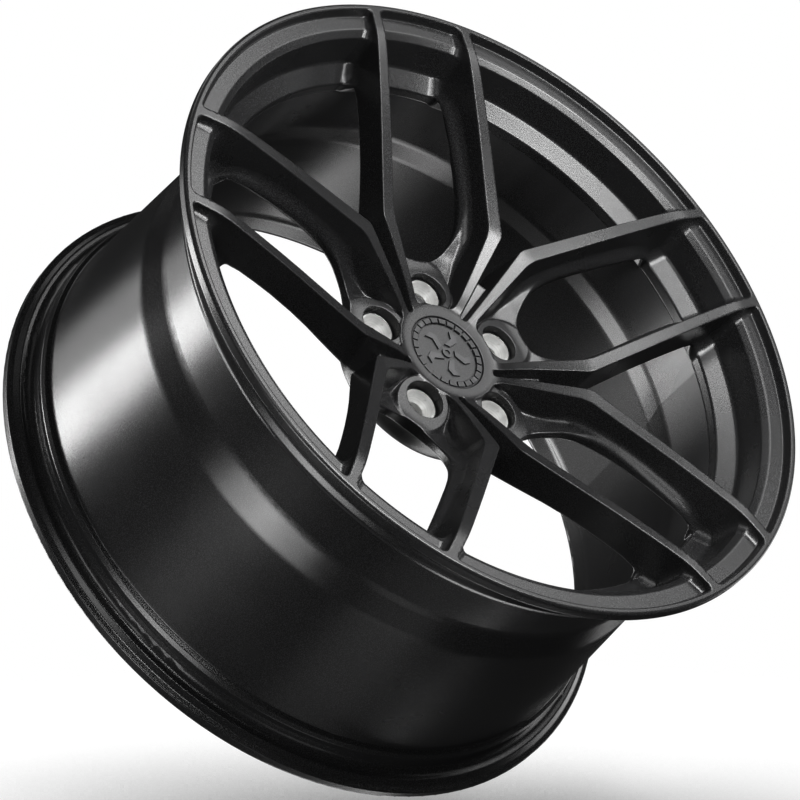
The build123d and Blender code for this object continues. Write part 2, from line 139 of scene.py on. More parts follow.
U_HALF = [(82.4, 0.0), (83.6, 9.0), (88.0, 17.5), (95.2, 24.8), (104.0, 30.4), (114.5, 33.2), (126.0, 33.8),
          (142.0, 33.0), (160.0, 31.6), (180.0, 30.3), (200.0, 29.2)]


def smooth_curve(pts, per=10):
    """Catmull-Rom through the points."""
    P = np.array([(p[0], p[1]) for p in pts])
    P = np.vstack([[P[1][0], -P[1][1]], P, 2 * P[-1] - P[-2]])
    out = []
    for i in range(1, len(P) - 2):
        for k in range(per):
            w = k / per
            a, b, c, d = P[i - 1], P[i], P[i + 1], P[i + 2]
            out.append(0.5 * ((2 * b) + (c - a) * w + (2 * a - 5 * b + 4 * c - d) * w * w + (3 * b - a - 3 * c + d) * w ** 3))
    out.append(P[-2])
    return np.array(out)


uc = smooth_curve(U_HALF)
tip_t = 28.9
tip_s = math.sqrt(217.6 ** 2 - tip_t ** 2)
corner = arcs([(200.0, 29.2, 0), (tip_s, tip_t, 2.0), (217.6, 6.0, 0), (200.0, 0, 0)])[1:-2]
arc_end = [(math.sqrt(217.6 ** 2 - t * t), t) for t in np.linspace(max(corner[-1][1] - 0.5, 0), 0, 14)]
half_plan = np.vstack([uc, corner, arc_end])
U_POLY = np.vstack([half_plan, np.column_stack([half_plan[::-1][1:-1, 0], -half_plan[::-1][1:-1, 1]])])
U_FIELD = polygon_field(U_POLY, 66.0, 236.0, -4.0, 60.0, 0.4)


def plane(A, B, out_sign, draft):
    """Wall plane through the ridge edge A-B: (s, t), leaning out with depth."""
    hA = float(look(H_TOP, np.array([math.hypot(*A)]))[0][0])
    hB = float(look(H_TOP, np.array([math.hypot(*B)]))[0][0])
    a = np.array([A[0], A[1], hA]); b = np.array([B[0], B[1], hB])
    u = b - a
    n = np.array([-u[1], u[0], 0.0]) * out_sign
    n /= np.linalg.norm(n)
    v = np.array([0, 0, -1.0]) + math.tan(math.radians(draft)) * n
    N = np.cross(u, v)
    N /= np.linalg.norm(N)
    if N @ n < 0:
        N = -N
    return N, float(N @ a)


OUT1 = plane((35.0, 21.6), (89.5, 54.3), 1, 11)
OUT2 = plane((89.5, 54.3), (248.5, 45.5), 1, 4)
IN1 = plane((46.0, 20.5), (93.3, 43.4), -1, 12)
IN2 = plane((93.3, 43.4), (249.6, 37.5), -1, 10)


def pl(P, s, t, z):
    return P[0][0] * s + P[0][1] * t + P[0][2] * z - P[1]


def shape(x, y, z):
    """Signed distance-like field of the whole face forging."""
    r = np.sqrt(x * x + y * y)
    phi = np.arctan2(x, y)
    k72 = math.radians(72.0)
    phi = np.abs(phi - k72 * np.round(phi / k72))
    s = r * np.cos(phi)
    t = r * np.sin(phi)
    top, ctop = look(H_TOP, r)
    sh, csh = look(H_SH, r)
    bk, cbk = look(H_BACK, r)
    bs, cbs = look(H_BOSS, r)
    low_h = (z - sh) * csh
    ring = field(T_RING, r, z)
    w = np.clip((r - 192.0) / 10.0, 0, 1)
    low = np.where(r < 191.0, low_h, low_h * (1 - w) + ring * w)

    # lug side
    zk = z - np.where((r > 104.7) & (r < 252.0), top - (94.4 + (r - 104.7) * (133.35 - 94.4) / 147.3), 0.0)
    d_in = runion(pl(IN1, s, t, z), pl(IN2, s, t, zk), 2.5)
    hub = r - 41.0
    walls_in = runion(d_in, hub, 7.0)
    rho = np.sqrt((s - 56.0) ** 2 + t * t)
    ea, eb = (s - 60.0) / 25.0, t / 21.3
    q = np.sqrt(ea * ea + eb * eb) + 1e-9
    el = q * (q - 1.0) / np.sqrt((ea / 25.0) ** 2 + (eb / 21.3) ** 2 + 1e-12)
    boss = rinter(el - np.clip(58.0 - z, 0, 20) * 0.12, (z - bs) * cbs, 1.5)
    low_l = runion(low, boss, 3.5)
    R_in = np.interp(r, [60, 82, 104, 150, 215, 230, 248, 258], [1.8, 2.2, 7.0, 8.5, 9.0, 8.0, 4.5, 4.0])
    lug = runion(low_l, walls_in, R_in)

    # side of the wide opening
    c36, s36 = math.cos(math.radians(36.0)), math.sin(math.radians(36.0))
    ys = s * c36 + t * s36
    d_out = rinter(pl(OUT1, s, t, z), pl(OUT2, s, t, zk), 1.8)
    walls_out = runion(d_out, r - 39.4, 2.4)
    floor = rinter((z - top + 10.0) * ctop, ys - 75.5, 3.0)
    walls_out = runion(walls_out, floor, 0.9)
    ring_only = rinter(low, 217.6 - r, 1.3)
    R_out = np.interp(r, [200, 222, 232, 248, 258], [10.0, 10.0, 8.0, 4.5, 4.0])
    slot = runion(walls_out, ring_only, R_out)

    t_in = np.where(s < 93.3, 20.5 + (s - 46.0) * 0.484, 43.4 - (s - 93.3) * 0.03775)
    t_out = np.where(s < 89.5, 21.6 + (s - 35.0) * 0.6, 54.3 - (s - 89.5) * 0.05535)
    f = np.where(t < 0.5 * (t_in + t_out), lug, slot)

    # top, back and the U-shaped window
    f = np.maximum(f, np.where(r < 200.0, -20.0, field(T_OUT, r, z)))
    f = rinter(f, (z - top) * ctop, np.interp(r, [250, 257, 259], [0.8, 1.2, 2.6]))
    f = rinter(f, (bk - z) * cbk, np.interp(r, [70, 76, 90, 214, 218], [0.8, 2.5, 2.8, 2.5, 0.3]))
    u = field(U_FIELD, s, t)
    u = np.where((s < 66) | (s > 235) | (t > 59), 30.0, u)
    f = rinter(f, -u, np.interp(s, [84, 92, 112, 205, 214], [0.7, 1.2, 3.8, 3.4, 1.0]))

    # bores
    f = rinter(f, -np.maximum(rho - 15.0, 51.4 - z), 0.6)
    f = np.maximum(f, -np.maximum(rho - 13.4, 47.8 - z))
    f = np.maximum(f, -np.maximum(rho - 11.4, 34.0 - z))
    f = np.maximum(f, 7.5 - rho)
    f = rinter(f, -np.maximum(r - 31.2, 56.0 - z), 0.5)
    f = np.maximum(f, 28.75 - r)
    f = rinter(f, -np.maximum(r - 36.55, z - 48.0), 0.4)
    f = np.maximum(f, -np.maximum(r - 38.4, z - 26.8))
    xs = np.abs(-s * s36 + t * c36)
    rel = np.maximum(np.maximum(np.abs(r - 56.0) - 9.0, xs - 13.0), z - 32.0)
    f = rinter(f, -rel, 0.8)
    return f


def gradient(p, eps=0.06):
    g = np.empty_like(p)
    for a in range(3):
        q = p.copy(); q[:, a] += eps
        w = p.copy(); w[:, a] -= eps
        g[:, a] = shape(q[:, 0], q[:, 1], q[:, 2]) - shape(w[:, 0], w[:, 1], w[:, 2])
    n = np.linalg.norm(g, axis=1)
    n[n < 1e-12] = 1
    return g / n[:, None]


def face_mesh(NT=150, dz=0.9, dr=1.15):
    th = np.linspace(0, math.radians(36.0), NT + 1)
    rr = np.concatenate([np.arange(27.6, 80, 0.8), np.arange(80.4, 250, dr), np.arange(250.3, 263.2, 0.62)])
    zz = np.arange(22.35, 136.0, dz)
    NR, NZ = len(rr), len(zz)
    V = np.empty((NT + 1, NR, NZ), np.float32)
    R, Z = np.meshgrid(rr, zz, indexing="ij")
    for j in range(NT + 1):
        V[j] = shape(R * math.sin(th[j]), R * math.cos(th[j]), Z)
    S = V < 0

    def pos(j, i, k):
        return np.column_stack([rr[i] * np.sin(th[j]), rr[i] * np.cos(th[j]), zz[k]])

    edges = []
    for ax in range(3):
        sl0 = [slice(None)] * 3; sl1 = [slice(None)] * 3
        sl0[ax] = slice(0, -1); sl1[ax] = slice(1, None)
        j, i, k = np.nonzero(S[tuple(sl0)] != S[tuple(sl1)])
        e = [j, i, k]
        e2 = [j.copy(), i.copy(), k.copy()]; e2[ax] = e2[ax] + 1
        a = pos(*e); b = pos(*e2)
        fa = V[j, i, k].astype(float); fb = V[e2[0], e2[1], e2[2]].astype(float)
        lo = a.copy(); hi = b.copy()
        flo, fhi = fa.copy(), fb.copy()
        for it in range(5):
            w = (flo / (flo - fhi))[:, None]
            if it in (1, 3):
                w = 0.5
            m = lo + (hi - lo) * w
            fm = shape(m[:, 0], m[:, 1], m[:, 2])
            same = (fm < 0) == (flo < 0)
            lo[same] = m[same]; flo[same] = fm[same]
            hi[~same] = m[~same]; fhi[~same] = fm[~same]
            bad = np.abs(flo - fhi) < 1e-12
            fhi[bad] += 1e-9
        w = (flo / (flo - fhi))[:, None]
        m = lo + (hi - lo) * np.clip(w, 0, 1)
        n = gradient(m)
        edges.append((j, i, k, m, n, S[j, i, k]))

    shp = (NT, NR - 1, NZ - 1)
    ncell = NT * (NR - 1) * (NZ - 1)
    acc_id, acc_m, acc_n = [], [], []
    others = {0: (1, 2), 1: (0, 2), 2: (0, 1)}
    for ax, (j, i, k, m, n, sg) in enumerate(edges):
        o1, o2 = others[ax]
        for d1 in (0, -1):
            for d2 in (0, -1):
                c = [j.copy(), i.copy(), k.copy()]
                c[o1] = c[o1] + d1; c[o2] = c[o2] + d2
                ok = np.ones(len(j), bool)
                for q in range(3):
                    ok &= (c[q] >= 0) & (c[q] < shp[q])
                acc_id.append(np.ravel_multi_index((c[0][ok], c[1][ok], c[2][ok]), shp))
                acc_m.append(m[ok]); acc_n.append(n[ok])
    ids = np.concatenate(acc_id); M = np.concatenate(acc_m); N = np.concatenate(acc_n)
    cells, inv = np.unique(ids, return_inverse=True)
    nc = len(cells)
    cnt = np.bincount(inv, minlength=nc).astype(float)
    mp = np.column_stack([np.bincount(inv, M[:, a], nc) for a in range(3)]) / cnt[:, None]
    A = np.zeros((nc, 3, 3)); B = np.zeros((nc, 3))
    dm = M - mp[inv]
    dd = np.einsum("ij,ij->i", N, dm)
    for a in range(3):
        B[:, a] = np.bincount(inv, N[:, a] * dd, nc)
        for b in range(3):
            A[:, a, b] = np.bincount(inv, N[:, a] * N[:, b], nc)
    ev, evec = np.linalg.eigh(A)
    invev = np.where(ev > 0.08 * ev[:, 2:3], 1.0 / np.maximum(ev, 1e-9), 0.0)
    x = np.einsum("nij,nj->ni", evec, invev * np.einsum("nji,nj->ni", evec, B))
    cj, ci, ck = np.unravel_index(cells, shp)
    p = mp + x
    # keep each vertex in its own cell
    pr = np.hypot(p[:, 0], p[:, 1]); pt = np.arctan2(p[:, 0], p[:, 1])
    pr = np.clip(pr, rr[ci], rr[ci + 1]); pt = np.clip(pt, th[cj], th[cj + 1])
    pz = np.clip(p[:, 2], zz[ck], zz[ck + 1])
    lookup = np.full(ncell, -1, np.int64)
    lookup[cells] = np.arange(nc)

    def ring_cells(ax, sel=None):
        j, i, k, m, n, sg = edges[ax]
        o1, o2 = others[ax]
        quads = []
        for d1, d2 in ((-1, -1), (0, -1), (0, 0), (-1, 0)):
            c = [j.copy(), i.copy(), k.copy()]
            c[o1] = c[o1] + d1; c[o2] = c[o2] + d2
            quads.append(c)
        return quads, sg

    inner, seam0, seam1 = [], [], []
    for ax in range(3):
        quads, sg = ring_cells(ax)
        j = edges[ax][0]; i = edges[ax][1]; k = edges[ax][2]
        cols = []
        ok = np.ones(len(j), bool)
        for c in quads:
            ok &= (c[1] >= 0) & (c[1] < shp[1]) & (c[2] >= 0) & (c[2] < shp[2])
        is0 = np.zeros(len(j), bool) if ax == 0 else (j == 0)
        is1 = np.zeros(len(j), bool) if ax == 0 else (j == NT)
        for part, store in ((ok & ~is0 & ~is1, inner), (ok & is0, seam0), (ok & is1, seam1)):
            idx = []
            for c in quads:
                cjj = c[0][part]
                other = (cjj < 0) | (cjj >= NT)
                cjj = np.clip(cjj, 0, NT - 1)
                v = lookup[np.ravel_multi_index((cjj, c[1][part], c[2][part]), shp)]
                idx.append(np.where(other, -v - 1, v))
            store.append(np.column_stack(idx) if len(idx[0]) else np.zeros((0, 4), np.int64))
    inner, seam0, seam1 = [np.vstack(q) for q in (inner, seam0, seam1)]

    def P(ang):
        return np.column_stack([pr * np.sin(ang), pr * np.cos(ang), pz])

    base = P(pt)
    mir0 = P(-pt)                                   # mirrored in the lug axis
    mir1 = P(2 * th[-1] - pt)                       # mirrored in the slot axis

    def orient(q, verts):
        a = verts[q[:, 0]]; b = verts[q[:, 1]]; c = verts[q[:, 2]]; d = verts[q[:, 3]]
        n = np.cross(c - a, d - b)
        mid = (a + b + c + d) / 4
        g = gradient(mid)
        flip = np.einsum("ij,ij->i", n, g) < 0
        q = q.copy()
        q[flip] = q[flip][:, ::-1]
        return q

    def corner_normals(q, verts):
        mid = verts[q].mean(axis=1)
        out = np.empty((len(q), 4, 3))
        for a in range(4):
            v = verts[q[:, a]]
            out[:, a] = gradient(v + 0.22 * (mid - v))
        return out

    # vertices of one 72 degree unit: first the half sector, then its mirror in the slot axis
    unit_v = np.vstack([base, mir1])
    qa = orient(inner, base)
    na = corner_normals(qa, base)
    qb = qa[:, ::-1] + nc
    nb = na[:, ::-1].copy()
    ax = 2 * th[-1]
    # reflect normals in the slot axis: angle -> 72 - angle
    nx, ny = nb[..., 0].copy(), nb[..., 1].copy()
    ca, sa = math.cos(ax), math.sin(ax)
    # a vector at polar angle w (x = sin w, y = cos w) goes to angle ax - w
    nb[..., 0] = sa * ny - ca * nx
    nb[..., 1] = ca * ny + sa * nx
    s1 = np.where(seam1 < 0, (-seam1 - 1) + nc, seam1)
    s1 = orient(s1, unit_v)
    n1 = corner_normals(s1, unit_v)
    both = np.vstack([base, mir0])
    s0 = np.where(seam0 < 0, (-seam0 - 1) + nc, seam0)
    s0 = orient(s0, both)
    n0 = corner_normals(s0, both)

    verts, faces, norms = [], [], []
    for m in range(5):
        a = math.radians(72.0 * m)
        ca, sa = math.cos(a), math.sin(a)

        def turn(v):
            o = v.copy()
            o[..., 0] = v[..., 0] * ca + v[..., 1] * sa
            o[..., 1] = -v[..., 0] * sa + v[..., 1] * ca
            return o
        off = m * 2 * nc
        verts.append(turn(unit_v))
        faces.append(qa + off); norms.append(turn(na))
        faces.append(qb + off); norms.append(turn(nb))
        faces.append(s1 + off); norms.append(turn(n1))
        # seam on the lug axis joins this unit's base to the previous unit's mirror
        prev = ((m - 1) % 5) * 2 * nc
        faces.append(np.where(s0 >= nc, s0 - nc + nc + prev, s0 + off)); norms.append(turn(n0))
    verts = np.vstack(verts); faces = np.vstack(faces); norms = np.vstack(norms)
    good = (faces >= 0).all(axis=1)
    return verts, faces[good], norms[good]


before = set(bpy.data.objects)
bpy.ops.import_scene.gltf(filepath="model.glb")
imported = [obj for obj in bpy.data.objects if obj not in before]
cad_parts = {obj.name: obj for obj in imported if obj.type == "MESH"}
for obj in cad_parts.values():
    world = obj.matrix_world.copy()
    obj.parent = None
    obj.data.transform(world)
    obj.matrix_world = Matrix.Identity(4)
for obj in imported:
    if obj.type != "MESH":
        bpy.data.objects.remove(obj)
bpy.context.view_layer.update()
MM = 0.001


# ------------------------------------------------------------------ mesh helpers
def to_row(v):
    """Drawing frame (across, up, outboard) in mm to the wheel frame in metres."""
    out = np.empty_like(v)
    out[..., 0] = v[..., 0]
    out[..., 1] = -v[..., 2]
    out[..., 2] = v[..., 1]
    return out


def mesh_object(name, verts, faces, normals=None, smooth=True):
    verts = to_row(np.asarray(verts, float)) * MM
    faces = np.asarray(faces)
    me = bpy.data.meshes.new(name)
    me.vertices.add(len(verts))
    me.vertices.foreach_set("co", verts.astype(np.float32).ravel())
    n = faces.shape[1]
    me.loops.add(len(faces) * n)
    me.loops.foreach_set("vertex_index", faces.astype(np.int32).ravel())
    me.polygons.add(len(faces))
    me.polygons.foreach_set("loop_start", (np.arange(len(faces)) * n).astype(np.int32))
    if smooth:
        me.polygons.foreach_set("use_smooth", np.ones(len(faces), bool))
    me.update(calc_edges=True)
    me.validate(verbose=False)
    if normals is not None and len(me.loops) == len(faces) * n:
        nr = to_row(normals).reshape(-1, 3)
        me.normals_split_custom_set(nr.tolist())
    ob = bpy.data.objects.new(name, me)
    bpy.context.scene.collection.objects.link(ob)
    return ob


# ------------------------------------------------------------------ materials
def node_material(name):
    m = bpy.data.materials.new(name)
    m.use_nodes = True
    nt = m.node_tree
    nt.nodes.clear()
    out = nt.nodes.new("ShaderNodeOutputMaterial")
    b = nt.nodes.new("ShaderNodeBsdfPrincipled")
    nt.links.new(b.outputs[0], out.inputs[0])
    return m, nt, b


def add(nt, kind, **kw):
    n = nt.nodes.new(kind)
    for k, v in kw.items():
        if k in n.inputs:
            n.inputs[k].default_value = v
        else:
            setattr(n, k, v)
    return n


def ramp(nt, src, p0, c0, p1, c1):
    r = nt.nodes.new("ShaderNodeValToRGB")
    r.color_ramp.elements[0].position = p0
    r.color_ramp.elements[0].color = (*c0, 1)
    r.color_ramp.elements[1].position = p1
    r.color_ramp.elements[1].color = (*c1, 1)
    nt.links.new(src, r.inputs[0])
    return r


def clouds(nt, vec, scale, lo, hi, detail=4.0):
    """Slow variation between two values, for roughness."""
    n = add(nt, "ShaderNodeTexNoise", Scale=scale, Detail=detail, Roughness=0.6)
    nt.links.new(vec, n.inputs["Vector"])
    mr = add(nt, "ShaderNodeMapRange")
    mr.inputs["From Min"].default_value = 0.3
    mr.inputs["From Max"].default_value = 0.7
    mr.inputs["To Min"].default_value = lo
    mr.inputs["To Max"].default_value = hi
    nt.links.new(n.outputs["Fac"], mr.inputs["Value"])
    return mr.outputs[0]


def bump(nt, b, height, strength, distance, below=None):
    bp = add(nt, "ShaderNodeBump")
    bp.inputs["Strength"].default_value = strength
    bp.inputs["Distance"].default_value = distance
    nt.links.new(height, bp.inputs["Height"])
    if below is not None:
        nt.links.new(below.outputs[0], bp.inputs["Normal"])
    nt.links.new(bp.outputs[0], b.inputs["Normal"])
    return bp


def lathe_lines(nt, centre, scale, wobble=0.35):
    """One-dimensional noise across a turned surface: constant along each tool pass round the given axis."""
    tc = add(nt, "ShaderNodeTexCoord")
    mp = add(nt, "ShaderNodeMapping")
    mp.inputs["Location"].default_value = (-centre[0], -centre[1], -centre[2])
    nt.links.new(tc.outputs["Object"], mp.inputs["Vector"])
    flat = add(nt, "ShaderNodeVectorMath", operation="MULTIPLY")
    flat.inputs[1].default_value = (1.0, 0.0, 1.0)
    nt.links.new(mp.outputs[0], flat.inputs[0])
    ln = add(nt, "ShaderNodeVectorMath", operation="LENGTH")
    nt.links.new(flat.outputs[0], ln.inputs[0])
    sp = add(nt, "ShaderNodeSeparateXYZ")
    nt.links.new(mp.outputs[0], sp.inputs[0])
    sm = add(nt, "ShaderNodeMath", operation="ADD")
    nt.links.new(ln.outputs["Value"], sm.inputs[0])
    nt.links.new(sp.outputs["Y"], sm.inputs[1])
    n = add(nt, "ShaderNodeTexNoise", noise_dimensions="1D", Scale=scale, Detail=3.0, Roughness=0.7)
    nt.links.new(sm.outputs[0], n.inputs["W"])
    return mp.outputs[0], n.outputs["Fac"]


def satin_black(name, base=0.012, rough=0.27, strength=0.28, scale=1000.0, lathe=0.0):
    """Satin black powder coat: fine orange peel, faint roughness clouds, light flecks, and a painted highlight that
    makes convex edges lighter.
    """
    m, nt, b = node_material(name)
    tc = add(nt, "ShaderNodeTexCoord")
    vec = tc.outputs["Object"]
    peel = add(nt, "ShaderNodeTexNoise", Scale=scale, Detail=2.0, Roughness=0.55)
    grain = add(nt, "ShaderNodeTexNoise", Scale=scale * 1.5, Detail=1.0, Roughness=0.5)
    for n in (peel, grain):
        nt.links.new(vec, n.inputs["Vector"])
    col = ramp(nt, grain.outputs["Fac"], 0.48, (base, base, base * 1.03), 0.80, (base * 3.6, base * 3.6, base * 3.7))
    # painted highlight: convex edges (high pointiness) get a lighter base colour, standing in for the bright edge
    # reflections
    geo = add(nt, "ShaderNodeNewGeometry")
    edge = ramp(nt, geo.outputs["Pointiness"], 0.53, (0, 0, 0), 0.60, (1, 1, 1))
    painted_edge_highlight = add(nt, "ShaderNodeMix", data_type="RGBA")
    nt.links.new(col.outputs[0], painted_edge_highlight.inputs[6])
    painted_edge_highlight.inputs[7].default_value = (base * 3.2, base * 3.2, base * 3.3, 1)
    nt.links.new(edge.outputs[0], painted_edge_highlight.inputs[0])
    nt.links.new(painted_edge_highlight.outputs[2], b.inputs["Base Color"])
    nt.links.new(clouds(nt, vec, 9.0, rough - 0.03, rough + 0.03), b.inputs["Roughness"])
    bp = bump(nt, b, peel.outputs["Fac"], strength, 0.0002)
    if lathe > 0:
        _, lines = lathe_lines(nt, (0, 0, 0), 900.0)
        bump(nt, b, lines, lathe, 0.0001, bp)
    b.inputs["Specular IOR Level"].default_value = 0.5
    b.inputs["IOR"].default_value = 1.5
    return m


def turned_metal(name, colour, rough, centre=(0, 0, 0), scale=1400.0, strength=0.25, tint=0.82, metal=1.0):
    """Machined metal: tool lines round the axis, slow blotches in the polish, small dull spots."""
    m, nt, b = node_material(name)
    vec, lines = lathe_lines(nt, centre, scale)
    b.inputs["Metallic"].default_value = metal
    lo = tuple(c * tint for c in colour)
    col = ramp(nt, lines, 0.30, lo, 0.70, colour)
    spots = add(nt, "ShaderNodeTexNoise", Scale=420.0, Detail=3.0, Roughness=0.6)
    nt.links.new(vec, spots.inputs["Vector"])
    dull = ramp(nt, spots.outputs["Fac"], 0.60, (1, 1, 1), 0.78, (0.72, 0.71, 0.70))
    mx = add(nt, "ShaderNodeMix", data_type="RGBA", blend_type="MULTIPLY")
    mx.inputs[0].default_value = 1.0
    nt.links.new(col.outputs[0], mx.inputs[6])
    nt.links.new(dull.outputs[0], mx.inputs[7])
    nt.links.new(mx.outputs[2], b.inputs["Base Color"])
    nt.links.new(clouds(nt, vec, 160.0, rough - 0.05, rough + 0.07), b.inputs["Roughness"])
    bump(nt, b, lines, strength, 0.00006)
    return m


def moulded(name, colour, rough, scale=1500.0, strength=0.2, distance=0.00015, spec=0.5):
    """Moulded plastic or rubber: spark-eroded grain, slow gloss changes, faint dust in the grain."""
    m, nt, b = node_material(name)
    tc = add(nt, "ShaderNodeTexCoord")
    vec = tc.outputs["Object"]
    g = add(nt, "ShaderNodeTexNoise", Scale=scale, Detail=3.0, Roughness=0.6)
    v = add(nt, "ShaderNodeTexVoronoi", Scale=scale * 0.8)
    nt.links.new(vec, g.inputs["Vector"])
    nt.links.new(vec, v.inputs["Vector"])
    light = tuple(c * 2.2 + 0.004 for c in colour)
    col = ramp(nt, g.outputs["Fac"], 0.45, colour, 0.85, light)
    nt.links.new(col.outputs[0], b.inputs["Base Color"])
    nt.links.new(clouds(nt, vec, 60.0, rough - 0.04, rough + 0.05), b.inputs["Roughness"])
    bp = bump(nt, b, v.outputs["Distance"], strength * 0.5, distance)
    bump(nt, b, g.outputs["Fac"], strength, distance, bp)
    b.inputs["Specular IOR Level"].default_value = spec
    return m


MAT_FACE = satin_black("face_satin_black")
MAT_BARREL = satin_black("barrel_satin_black", base=0.011, rough=0.25, lathe=0.10)


# ------------------------------------------------------------------ face forging
v, f, n = face_mesh(NT=120, dz=1.05, dr=1.35)
v[:, 2] = np.minimum(v[:, 2], 133.35)
reach = np.hypot(v[:, 0], v[:, 1])
v[:, :2] *= np.minimum(1.0, 261.0 / np.maximum(reach, 1.0))[:, None]
face = mesh_object("wheel_face_finished", v, f, n)
face.data.materials.append(MAT_FACE)
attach(face, "wheel")
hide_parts("wheel_face_forging")


def centre_of(node):
    lo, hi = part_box(node)
    return (lo + hi) / 2


finishes = {
    "flow_formed_barrel": MAT_BARREL,
    "hub_centric_ring": turned_metal("ring_turned_aluminium", (0.74, 0.75, 0.76), 0.26),
    "centre_cap_body": moulded("cap_body_plastic", (0.016, 0.016, 0.017), 0.42),
    "centre_cap_trim_ring": satin_black("cap_trim_satin", base=0.016, rough=0.32, scale=1500.0),
    "centre_cap_badge": satin_black("cap_badge_satin", base=0.018, rough=0.34, scale=1500.0),
    "centre_cap_spring_ring": turned_metal("spring_wire", (0.60, 0.61, 0.62), 0.24, scale=2400.0),
    "valve_cap": moulded("valve_cap_plastic", (0.014, 0.014, 0.014), 0.46, scale=2200.0),
    "valve_seal": moulded("valve_seal_rubber", (0.012, 0.012, 0.012), 0.62, scale=2600.0, strength=0.35, spec=0.4),
    "valve_cap_gasket": moulded("cap_gasket_rubber", (0.020, 0.020, 0.020), 0.60, scale=2600.0, strength=0.35, spec=0.4),
    "valve_core_gasket": moulded("core_gasket_rubber", (0.06, 0.012, 0.010), 0.58, scale=2600.0, strength=0.35, spec=0.4),
}
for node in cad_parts:
    if node.startswith("lug_seat_insert"):
        finishes[node] = turned_metal(node + "_zinc", (0.66, 0.66, 0.65), 0.36, centre_of(node), scale=1500.0, strength=0.8, metal=0.5)
    elif node in ("valve_stem", "valve_nut", "valve_washer"):
        finishes[node] = turned_metal(node + "_anodised", (0.62, 0.63, 0.65), 0.27, centre_of(node), scale=2200.0)
    elif node in ("valve_core_body", "valve_core_pin"):
        finishes[node] = turned_metal(node + "_brass", (0.78, 0.56, 0.25), 0.26, centre_of(node), scale=2600.0)
    elif node == "valve_core_spring":
        finishes[node] = turned_metal(node + "_wire", (0.66, 0.66, 0.66), 0.22, centre_of(node), scale=2600.0)
for node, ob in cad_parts.items():
    if node == "wheel_face_forging":
        continue
    for i in range(len(ob.material_slots)):
        ob.material_slots[i].material = finishes[node]
    if not ob.material_slots:
        ob.data.materials.append(finishes[node])

# ------------------------------------------------------------------ camera
cam_data = bpy.data.cameras.new("camera")
cam_data.sensor_width = 36.0
cam_data.lens = 149.508
cam = bpy.data.objects.new("camera", cam_data)
bpy.context.scene.collection.objects.link(cam)
right = Vector((0.80791125, -0.54140646, -0.23271969))
up = Vector((-0.12286143, -0.54097549, 0.83201598))
back = Vector((-0.57635447, -0.6436028, -0.50357816))
rot = Matrix((right, up, back)).transposed()
cam.matrix_world = Matrix.Translation((-1.41009182, -1.57100812, -1.2322161)) @ rot.to_4x4()
cam_data.clip_end = 50.0
bpy.context.scene.camera = cam
bpy.context.scene.view_settings.view_transform = "Standard"
bpy.context.scene.view_settings.gamma = 0.85


# ------------------------------------------------------------------ light
def area(name, pos_cam, size, power, target=(0, 0, 0), color=(1, 1, 1)):
    """Area light placed by camera directions: (right, up, towards the camera), metres from the wheel."""
    ld = bpy.data.lights.new(name, "AREA")
    ld.shape = "RECTANGLE"
    ld.size, ld.size_y = size
    ld.energy = power
    ld.color = color
    ob = bpy.data.objects.new(name, ld)
    p = right * pos_cam[0] + up * pos_cam[1] + back * pos_cam[2]
    ob.location = p
    d = Vector(target) - p
    ob.rotation_euler = d.to_track_quat("-Z", "Y").to_euler()
    bpy.context.scene.collection.objects.link(ob)
    return ob


# white studio: the camera sees a white surround, the wheel is lit by soft panels on a sphere round it
world = bpy.data.worlds.new("studio")
bpy.context.scene.world = world
world.use_nodes = True
wt = world.node_tree
wt.nodes.clear()
seen = wt.nodes.new("ShaderNodeBackground")
seen.inputs[0].default_value = (1, 1, 1, 1)
seen.inputs[1].default_value = 1.0
fill = wt.nodes.new("ShaderNodeBackground")
fill.inputs[0].default_value = (1, 1, 1, 1)
fill.inputs[1].default_value = 0.030
path = wt.nodes.new("ShaderNodeLightPath")
pick = wt.nodes.new("ShaderNodeMixShader")
wout = wt.nodes.new("ShaderNodeOutputWorld")
wt.links.new(path.outputs["Is Camera Ray"], pick.inputs[0])
wt.links.new(fill.outputs[0], pick.inputs[1])
wt.links.new(seen.outputs[0], pick.inputs[2])
wt.links.new(pick.outputs[0], wout.inputs[0])

